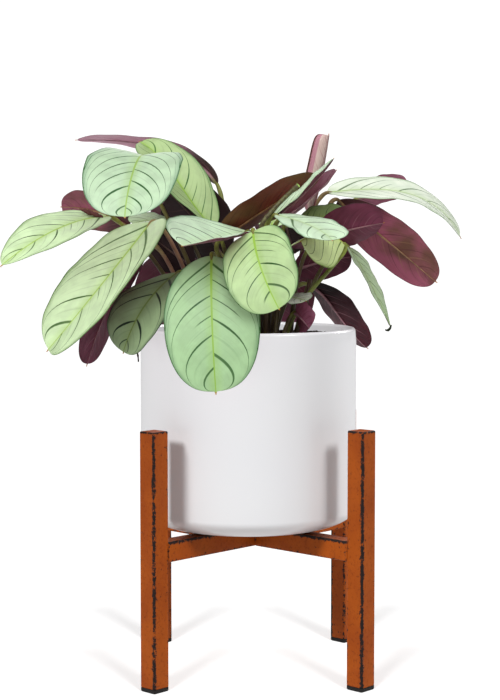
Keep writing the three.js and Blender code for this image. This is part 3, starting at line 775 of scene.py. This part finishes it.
def tube(path, radii, normal, sides=STALK_SIDES, turning=None):
    """A closed body of rings round a path. Where turning is given, only so many rings turn with the
    path, and the rest lie as the last of them does."""
    turning = turning or len(path)
    points = []
    for i, (here, radius) in enumerate(zip(path, radii)):
        if i < turning:
            forward = unit(path[min(i + 1, turning - 1)] - path[max(i - 1, 0)])
        normal = unit(normal - forward * np.dot(normal, forward))
        side = np.cross(forward, normal)
        for x, y, _ in circle(1, 0, sides):
            points.append(here + (side * x + normal * y) * radius)
    return points, closed(len(path), sides)


def stalk_path(leaf):
    """The stalk's line, from its root in the soil to the blade's base."""
    base = rib_point(leaf, 0)
    x, y = leaf.get("root", [c * ROOT_SHARE for c in leaf["rib"][0][:2]])
    root = np.array([x * MM, y * MM, SOIL_TOP - SOIL_HEAP - ROOT_DEPTH])
    start = np.array([x * MM, y * MM, SOIL_TOP])
    way = base - start
    rise = start + way * np.array([STALK_LEAN, STALK_LEAN, STALK_RISE])
    arrival = base - rib_direction(leaf, 0) * leaf.get("arch", ARCH / MM) * MM
    path = [root]
    for i in range(STALK_STEPS + 1):
        u = i / STALK_STEPS
        v = 1 - u
        path.append(start * v ** 3 + rise * 3 * v * v * u + arrival * 3 * v * u * u + base * u ** 3)
    return path


def stalk(leaf):
    """The stalk, which goes on below the blade as its rib."""
    path = stalk_path(leaf)
    length = np.cumsum([0] + [np.linalg.norm(b - a) for a, b in zip(path, path[1:])])
    radii, reach = [], []
    for d in length:
        u = d / length[-1]
        radius = STALK_ROOT_RADIUS + (STALK_TOP_RADIUS - STALK_ROOT_RADIUS) * u
        inside = (length[-1] - d) / JOINT_LENGTH
        if inside < 1:
            radius += JOINT_SWELL * sin(pi * (1 - inside) ** 0.7)
        radii.append(radius)
        reach.append(u)
    for i in range(1, RIB_RINGS + 1):
        t = RIB_SHARE * i / RIB_RINGS
        centre, side, normal = section(leaf, t)
        radius = (STALK_TOP_RADIUS * 0.75) * (1 - t) ** 0.8 + RIB_END_RADIUS
        path.append(centre - normal * (radius + RIB_SINK))
        radii.append(radius)
        reach.append(1 + t)
    points, faces = tube(path, radii, section(leaf, 0)[2])
    return points, faces, stalk_places(reach)


def stalk_places(reach):
    return [(0.0, 0.0, r) for r in reach for _ in range(STALK_SIDES)]


def build_leaf(leaf, seed):
    points, faces, indices, places, ribs = blade(leaf, seed)
    more, tube_faces, tube_places = stalk(leaf)
    faces += [tuple(v + len(points) for v in face) for face in tube_faces]
    indices += [2] * len(tube_faces)
    under = leaf.get("under", "plum")
    materials = [
        upper_material(leaf, seed),
        under_material(under),
        stalk_material(leaf.get("stalk", "olive"), under),
    ]
    piece = mesh_object(leaf["name"] + "_fine", points + more, faces, materials, indices)
    store(piece, "leaf_place", places + tube_places)
    store(piece, "leaf_rib", ribs + [0.0] * len(more))
    slot = "leaf_young" if under == "young" else ("leaf_purple" if "tone" not in leaf else "leaf_green")
    settle(piece, slot, leaf["name"])


def build_cut_stalk():
    path = stalk_path(CUT_STALK)
    length = len(path)
    radii = [STALK_ROOT_RADIUS + (CUT_RADIUS - STALK_ROOT_RADIUS) * i / length for i in range(length)]
    reach = [0.75 * i / length for i in range(length)]
    for i in range(1, CUT_STEPS + 1):
        path.append(rib_point(CUT_STALK, i / CUT_STEPS))
        radii.append(CUT_RADIUS + (CUT_FLARE if i == CUT_STEPS else 0))
        reach.append(0.75)
    end = path[-1]
    forward = rib_direction(CUT_STALK, 1)
    path += [end + forward * 0.2 * MM, end + forward * 0.05 * MM, end - forward * CUT_DEPTH]
    radii += [CUT_RADIUS * 0.9, CUT_HOLE_RADIUS, CUT_HOLE_RADIUS * 0.7]
    reach += [1.0, 1.0, 3.0]
    normal = np.cross(unit(np.cross(forward, [0, 0, 1])), forward)
    points, faces = tube(path, radii, normal, turning=length + CUT_STEPS)
    look = Surface("stalk_cut", Roughness=0.45)
    value = look.split(look.attribute("leaf_place", "Vector"))[2]
    grain = look.noise(look.place(), 500.0, 3.0)
    look.bump(grain, 0.3, 0.4 * MM)
    material = look.painted(
        (70, 58, 36),
        ((104, 104, 58), grain, 0.35, 0.7),
        ((160, 196, 96), value, 0.8, 0.95),
        # painted shade: the hole down into the cut end is darkened
        ((30, 34, 14), value, 1.0, 1.6),
    )
    piece = mesh_object("stalk_cut_fine", points, faces, [material])
    store(piece, "leaf_place", stalk_places(reach))
    settle(piece, "stalk", "stalk_cut")


def build_dried(name, knots, thickness, tint):
    look = Surface(name, Roughness=0.75, Specular_IOR_Level=0.2)
    grain = look.noise(look.place(), 420.0, 3.0)
    look.bump(grain, 0.6, 0.6 * MM)
    material = look.painted(linear(tint, 0.5), (tint, grain, 0.3, 0.7))
    bend = dict(rib=knots)
    draw = random.Random(name)
    shares = [i / DRIED_STEPS for i in range(DRIED_STEPS + 1)]
    path = [rib_point(bend, t) for t in shares]
    radii = [MM * float(np.interp(t, (0, 0.5, 1), thickness)) * draw.uniform(0.75, 1.2) for t in shares]
    points, faces = tube(path, radii, np.array([0.2, 1.0, 0.1]), 9)
    settle(mesh_object(name, points, faces, [material]), "leaf_purple")


# Pot and soil


def arc(centre_x, centre_z, radius_x, radius_z, start, end, steps):
    points = []
    for i in range(steps + 1):
        angle = radians(start + (end - start) * i / steps)
        points.append((centre_x + radius_x * cos(angle), centre_z + radius_z * sin(angle)))
    return points


def lathe(name, profile, sides, material):
    """A closed body from half its section, whose first and last points lie on the axis."""
    points = [(0.0, 0.0, profile[0][1])]
    for radius, height in profile[1:-1]:
        points += circle(radius, height, sides)
    points.append((0.0, 0.0, profile[-1][1]))
    rings = len(profile) - 2
    faces = fan(0, 1, sides, True) + bands(rings, sides, 1)
    faces += fan(len(points) - 1, 1 + (rings - 1) * sides, sides)
    return mesh_object(name, points, faces, [material])


def pot_material():
    look = Surface("pot_glaze", Roughness=0.3, Specular_IOR_Level=0.5, Coat_Weight=0.25)
    where = look.place()
    low = BAR_TOP + 0.5 * MM
    look.bump(look.noise(where, 260.0, 2.0), 0.03, 0.3 * MM)
    return look.painted(
        (235, 235, 238),
        ((238, 238, 239), look.noise(where, 14.0, 3.0)),
        ((190, 186, 176), look.noise(where, 900.0, 1.0), 0.72, 0.8, 0.0, 0.12),
        ((214, 206, 182), look.split(where)[2], low, BAR_TOP + 4 * MM, 0.55, 0.0),
    )


def build_pot():
    outer = arc(POT_RADIUS - FOOT_RUN, BAR_TOP + FOOT_RISE, FOOT_RUN, FOOT_RISE, -90, 0, 20)
    walls = [(POT_RADIUS, BAR_TOP + FOOT_RISE + k * WALL_STEP) for k in range(1, 7)]
    walls += [(POT_RADIUS, POT_RIM - 10.5 * MM), (POT_RADIUS - LIP_TAPER * 0.4, POT_RIM - 8 * MM)]
    lip_x = POT_RADIUS - LIP_TAPER - LIP_ROUND
    lip = arc(lip_x, POT_RIM - LIP_ROUND, LIP_ROUND, LIP_ROUND, 0, 180, 12)
    radius = POT_RADIUS - POT_WALL
    floor = BAR_TOP + POT_FLOOR
    rise = FOOT_RISE - POT_FLOOR / 2
    inside = arc(radius - FOOT_RUN, floor + rise, FOOT_RUN, rise, 0, -90, 10)
    profile = [(0, BAR_TOP)] + outer + walls + lip + inside + [(0, floor)]
    settle(lathe("pot_fine", profile, POT_SIDES, pot_material()), "pot", "pot")


def soil_material():
    look = Surface("soil", Roughness=0.9, Specular_IOR_Level=0.2)
    where = look.place()
    coarse = look.noise(where, 160.0, 4.0, 0.7)
    fine = look.noise(where, 700.0, 3.0, 0.6)
    look.bump(look.math("ADD", coarse, fine), 0.9, 1.0 * MM)
    return look.painted(
        (32, 22, 18),
        ((74, 54, 42), coarse, 0.35, 0.7),
        ((112, 88, 66), fine, 0.6, 0.75, 0.0, 0.5),
    )


def soil_height(share):
    """The heap's height at a share of the soil's radius."""
    return SOIL_TOP - SOIL_HEAP + SOIL_HEAP * max(0.0, 1 - share ** 6) ** 0.25


def build_soil():
    """The heaped soil with a rough top, and crumbs and bark chips half sunk in it."""
    radius = POT_RADIUS - POT_WALL - GAP
    draw = random.Random(SOIL_SEED)
    rings, sides = SOIL_RINGS, SOIL_SIDES
    points = [(0.0, 0.0, SOIL_TOP)]
    for i in range(1, rings + 1):
        share = i / rings
        for x, y, height in circle(radius * share, soil_height(share), sides):
            rough = 0 if i == rings else draw.uniform(-0.9, 0.7) * MM
            points.append((x, y, height + rough))
    low = SOIL_TOP - SOIL_HEAP - SOIL_DEPTH
    points += circle(radius, low, sides)
    points.append((0.0, 0.0, low))
    faces = fan(0, 1, sides) + bands(rings + 1, sides, 1, True)
    faces += fan(len(points) - 1, 1 + rings * sides, sides, True)
    crumb = bmesh.new()
    bmesh.ops.create_icosphere(crumb, subdivisions=1, radius=1.0)
    shape = [np.array(v.co) for v in crumb.verts]
    cells = [[v.index for v in f.verts] for f in crumb.faces]
    crumb.free()
    for _ in range(CRUMBS):
        away = radius * CRUMB_REACH * sqrt(draw.random())
        angle = draw.uniform(0, 2 * pi)
        size = draw.uniform(0.7, 2.3) * MM
        stretch = np.array([draw.uniform(0.6, 1.6), draw.uniform(0.6, 1.1), draw.uniform(0.4, 0.8)])
        turn = Matrix.Rotation(draw.uniform(0, pi), 3, "Z")
        centre = np.array([away * cos(angle), away * sin(angle), soil_height(away / radius)])
        start = len(points)
        for corner in shape:
            rough = corner * stretch * size * draw.uniform(0.8, 1.15)
            points.append(tuple(centre + np.array(turn @ Vector(rough))))
        faces += [tuple(start + v for v in cell) for cell in cells]
    settle(mesh_object("soil_fine", points, faces, [soil_material()]), "soil", "soil")


# Stand


@functools.cache
def paint_material():
    """Orange-brown paint, worn through to black in uneven lines along the edges. The attribute wear
    is 1 on an edge that is worn and falls to 0 beside it."""
    look = Surface("stand_paint", Specular_IOR_Level=0.2)
    where = look.place()
    cloud = look.noise(where, 40.0, 4.0, 0.6)
    fine = look.noise(where, 420.0, 3.0, 0.65)
    x, y, z = look.split(where)
    along = look.noise(look.joined(look.times(x, 3.0), look.times(y, 3.0), z), 120.0, 3.0, 0.7)
    wear = look.attribute("wear")
    worn = look.math("ADD", wear, look.times(along, 1.2, -0.6))
    worn = look.math("ADD", worn, look.times(fine, 1.8, -0.9))
    chips = look.noise(where, 1000.0, 2.0, 0.6)
    worn = look.math("ADD", worn, look.times(chips, 0.8, -0.4))
    mask = look.times(look.smooth(worn, 0.55, 0.85), look.math("GREATER_THAN", wear, 0.02))
    look.bump(look.times(mask, -1.0, look.times(fine, 0.5)), 0.35, 0.6 * MM)
    look.rough(look.smooth(fine, 0.3, 0.7, 0.42, 0.6))
    return look.painted(
        (156, 68, 4),
        ((172, 81, 8), cloud, 0.3, 0.7),
        ((110, 44, 6), fine, 0.52, 0.72, 0.0, 0.5),
        ((40, 22, 16), look.noise(where, 260.0, 2.0, 0.5), 0.7, 0.74, 0.0, 0.8),
        ((34, 24, 22), mask),
    )


def corner_arc(corner, half):
    """The points of one rounded corner of a square, whose corners are counted anticlockwise."""
    across, up = ((1, 1), (-1, 1), (-1, -1), (1, -1))[corner]
    flat = half - EDGE_ROUND
    angles = [radians(90 * corner + 30 * step) for step in range(CORNER_POINTS)]
    return [(across * flat + EDGE_ROUND * cos(a), up * flat + EDGE_ROUND * sin(a))
            for a in angles]


def beam(name, length, edges, start_wear, end_wear):
    """A square tube that lies along X with rounded edges and closed ends. How worn it is goes by
    its four long edges and its two ends."""
    half = TUBE / 2
    ring = []
    for corner in range(4):
        following = (corner + 1) % 4
        rounded = corner_arc(corner, half)
        ring += [(y, z, corner, 1.0) for y, z in rounded]
        (y0, z0), (y1, z1) = rounded[-1], corner_arc(following, half)[0]
        for share, value in FACE_WEAR:
            near = corner if share < 0.5 else following
            ring.append((y0 + (y1 - y0) * share, z0 + (z1 - z0) * share, near, value))
    count = len(ring)
    steps = max(4, int(length / BEAM_STEP))
    middle = [(4 * MM + (length - 8 * MM) * i / steps, 1.0, 0.0) for i in range(steps + 1)]
    stops = BEAM_END + middle + [(length - x, k, w) for x, k, w in reversed(BEAM_END)]
    points, values = [], []
    for index, (x, shrink, wear) in enumerate(stops):
        end = start_wear if index < len(BEAM_END) else end_wear
        for y, z, edge, value in ring:
            points.append((x - length / 2, y * shrink, z * shrink))
            values.append(max(value * edges[edge], wear * end))
    faces = bands(len(stops), count, flip=True)
    end_shrink = BEAM_END[0][1]
    for base, end, turn in ((0, start_wear, 1), ((len(stops) - 1) * count, end_wear, -1)):
        rim = range(base, base + count)
        for shrink, value in END_RINGS:
            start = len(points)
            for x, y, z in points[base:base + count]:
                points.append((x, y / end_shrink * shrink, z / end_shrink * shrink))
            values += [value * end] * count
            inner = range(start, start + count)
            for k in range(count):
                after = (k + 1) % count
                faces.append((rim[k], rim[after], inner[after], inner[k])[::turn])
            rim = inner
        faces.append(tuple(rim)[::turn])
    piece = mesh_object(name, points, faces, [paint_material()])
    store(piece, "wear", values)
    return piece


@functools.cache
def cap_material():
    look = Surface("cap_rubber", Specular_IOR_Level=0.3)
    grain = look.noise(look.place(), 700.0, 3.0)
    look.bump(grain, 0.3, 0.3 * MM)
    look.rough(look.smooth(grain, 0.3, 0.7, 0.5, 0.75))
    return look.painted((14, 14, 15), ((34, 33, 33), grain))


def build_cap(name, x, y, angle):
    """The cap's plate with a rounded lower edge, and the plug that goes up inside the tube."""
    half = TUBE / 2
    plug = half - PLUG_INSET
    levels = [(half - 1.2 * MM, 0.0), (half - 0.45 * MM, 0.3 * MM), (half, 1.1 * MM),
              (half, CAP_FOOT), (plug, CAP_FOOT), (plug, CAP_FOOT + PLUG_HEIGHT)]
    points = []
    for reach, height in levels:
        for corner in range(4):
            points += [(px, py, height) for px, py in corner_arc(corner, reach)]
    faces = closed(len(levels), 4 * CORNER_POINTS)
    piece = mesh_object(name + "_fine", points, faces, [cap_material()])
    piece.data.polygons.foreach_set("use_smooth", [False] * len(piece.data.polygons))
    place(piece, (x, y, 0), angle)
    settle(piece, "cap", name)


def weld(path, radius, seed):
    """A weld bead: overlapping low ripples along a line."""
    draw = random.Random(seed)
    dense = []
    for a, b in zip(path, path[1:]):
        steps = max(2, int(np.linalg.norm(b - a) / WELD_STEP))
        dense += [a + (b - a) * i / steps for i in range(steps)]
    dense.append(path[-1])
    radii = []
    for i in range(len(dense)):
        ripple = 0.82 + 0.18 * abs(sin(i * 0.9)) + draw.uniform(-0.06, 0.06)
        end = min(1.0, (i + 1) / 3, (len(dense) - i) / 3)
        radii.append(radius * ripple * end)
    return tube(dense, radii, np.array([0.0, 0.0, 1.0]) + 0.01, 8)


def directions(angle):
    """The level directions along a beam's angle and across it."""
    return np.array([cos(angle), sin(angle), 0]), np.array([-sin(angle), cos(angle), 0])


def build_stand():
    """The stand's tubes, caps and welds, of which it gives the legs."""
    quarter = pi / 4
    height = BAR_TOP - TUBE / 2
    beads, bead_faces, legs = [], [], []

    def add_weld(joint, across, offsets, radius, seed):
        line = [joint + across * out + np.array([0, 0, up]) for out, up in offsets]
        points, faces = weld(line, radius, seed)
        bead_faces.extend(tuple(v + len(beads) for v in face) for face in faces)
        beads.extend(points)

    for corner, (eighths, edges) in LEGS.items():
        angle = eighths * quarter
        outward, across = directions(angle)
        x = STAND_SHIFT + LEG_REACH * cos(angle)
        y = LEG_REACH * sin(angle)
        length = LEG_HEIGHT - CAP_FOOT
        leg = beam("leg_" + corner + "_fine", length, edges, 0.35, 1.0)
        place(leg, (x, y, CAP_FOOT + length / 2), angle, upright=True)
        settle(leg, "tube", "leg_" + corner)
        legs.append(leg)
        build_cap("cap_" + corner, x, y, angle)
        joint = np.array([x, y, height]) - outward * (TUBE / 2 + GAP / 2)
        reach = TUBE / 2 - 0.8 * MM
        steps = [s * reach for s in (-1, -0.5, 0, 0.5, 1)]
        for side in (-1, 1):
            edge = side * (TUBE / 2 - 0.2 * MM)
            add_weld(joint, across, [(edge, s) for s in steps], 1.0 * MM, eighths + side)
        for side in (-1, 1):
            edge = side * (TUBE / 2 - 0.3 * MM)
            add_weld(joint, across, [(s, edge) for s in steps], 0.9 * MM, 20 + eighths + side)
    bar_length = 2 * (LEG_REACH - TUBE / 2 - GAP)
    half_length = (bar_length - TUBE) / 2 - GAP
    bars = [("bar_long", bar_length, 0, quarter)]
    for name, angle in (("bar_half_front", -quarter), ("bar_half_back", 3 * quarter)):
        bars.append((name, half_length, TUBE / 2 + GAP + half_length / 2, angle))
    for name, length, reach, angle in bars:
        bar = beam(name + "_fine", length, *BAR_WEAR)
        outward, across = directions(angle)
        crossing = np.array([STAND_SHIFT, 0, height])
        place(bar, Vector(crossing + outward * reach), angle)
        settle(bar, "tube", name)
        for side in ((-1, 1) if reach else ()):
            edge = side * (TUBE / 2 - 0.2 * MM)
            joint = crossing + outward * (TUBE / 2 + GAP / 2)
            add_weld(joint, across, [(edge, s * 7 * MM) for s in (-1, 0, 1)], 0.8 * MM, 40 + side)
    piece = mesh_object("weld_beads", beads, bead_faces, [paint_material()])
    store(piece, "wear", [WELD_WEAR] * len(beads))
    settle(piece, "tube")
    return legs


# Surroundings


def build_floor():
    """A white floor. To the object's own light it is a little dimmer than to the camera."""
    look = Surface("floor_white", Roughness=0.8, Specular_IOR_Level=0.0, Emission_Color=WHITE)
    seen = look.node("LightPath").outputs["Is Camera Ray"]
    look.fill(look.shader, Emission_Strength=look.pick(seen, BOUNCE, FLOOR_GLOW))
    look.painted((0.88, 0.88, 0.88, 1), ((0.9, 0.9, 0.9, 1), look.noise(look.place(), 3.0)))
    points = [(x * FLOOR_REACH, y * FLOOR_REACH, 0) for x, y in ((-1, -1), (1, -1), (1, 1), (-1, 1))]
    floor = mesh_object("floor", points, [(0, 1, 2, 3)], [look.material])
    floor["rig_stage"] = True
    return floor


def build_world():
    world = bpy.data.worlds.new("studio")
    bpy.context.scene.world = world
    world.use_nodes = True
    tree = world.node_tree
    background = tree.nodes["Background"]
    background.inputs["Color"].default_value = WHITE
    path = tree.nodes.new("ShaderNodeLightPath")
    strength = tree.nodes.new("ShaderNodeMapRange")
    strength.inputs["To Min"].default_value = AMBIENT
    strength.inputs["To Max"].default_value = SKY_SEEN
    tree.links.new(path.outputs["Is Camera Ray"], strength.inputs["Value"])
    tree.links.new(strength.outputs[0], background.inputs["Strength"])


def distant_light(name, azimuth, elevation, spread, share):
    """A soft distant light. Azimuth 0 is the front and positive is right, spread is its apparent
    size in degrees, and share is what a white surface that faces it shines with."""
    a = radians(azimuth)
    e = radians(elevation)
    way = Vector((sin(a) * cos(e), -cos(a) * cos(e), sin(e)))
    light = bpy.data.lights.new(name, "SUN")
    light.angle = radians(spread)
    light.energy = pi * share
    placed = add(name, light)
    placed.location = way * 2
    placed.rotation_euler = way.to_track_quat("Z", "Y").to_euler()
    return placed


def build_lights(floor, legs):
    """The plant has soft lights of its own, and the pot and stand have harder ones, which only the
    pot and stand shade. Two faint ones are for the floor, and only the legs shade those."""
    members = dict(
        plant=[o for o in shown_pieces() if o["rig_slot"] in PLANT_SLOTS],
        ware=[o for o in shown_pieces() if o["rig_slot"] not in PLANT_SLOTS],
        open=[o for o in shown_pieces() if o.name not in LIT_THROUGH],
        floor=[floor],
        legs=legs,
    )
    groups = {}
    for name, things in members.items():
        groups[name] = bpy.data.collections.new("only_" + name)
        for thing in things:
            groups[name].objects.link(thing)
        for member in groups[name].collection_objects:
            member.light_linking.link_state = "INCLUDE"
    for *settings, lit, shade in LIGHTS:
        light = distant_light(*settings)
        light.light_linking.receiver_collection = groups[lit]
        light.light_linking.blocker_collection = groups[shade]


def build_camera():
    camera = bpy.data.cameras.new("camera")
    camera.lens = CAMERA_LENS
    camera.sensor_width = 36
    camera.sensor_fit = "AUTO"
    placed = add("camera", camera)
    placed.location = CAMERA_PLACE
    placed.rotation_euler = (pi / 2 - CAMERA_DOWN, 0, -CAMERA_RIGHT)
    bpy.context.scene.camera = placed


build_camera()
build_world()
bpy.context.scene.view_settings.view_transform = "Standard"
bpy.context.scene.view_settings.look = "None"

stand_legs = build_stand()
build_pot()
build_soil()
for seed, leaf in enumerate(LEAVES, 1):
    build_leaf(leaf, seed)
build_cut_stalk()
for name, shape in DRIED.items():
    build_dried(name, *shape)
build_lights(build_floor(), stand_legs)
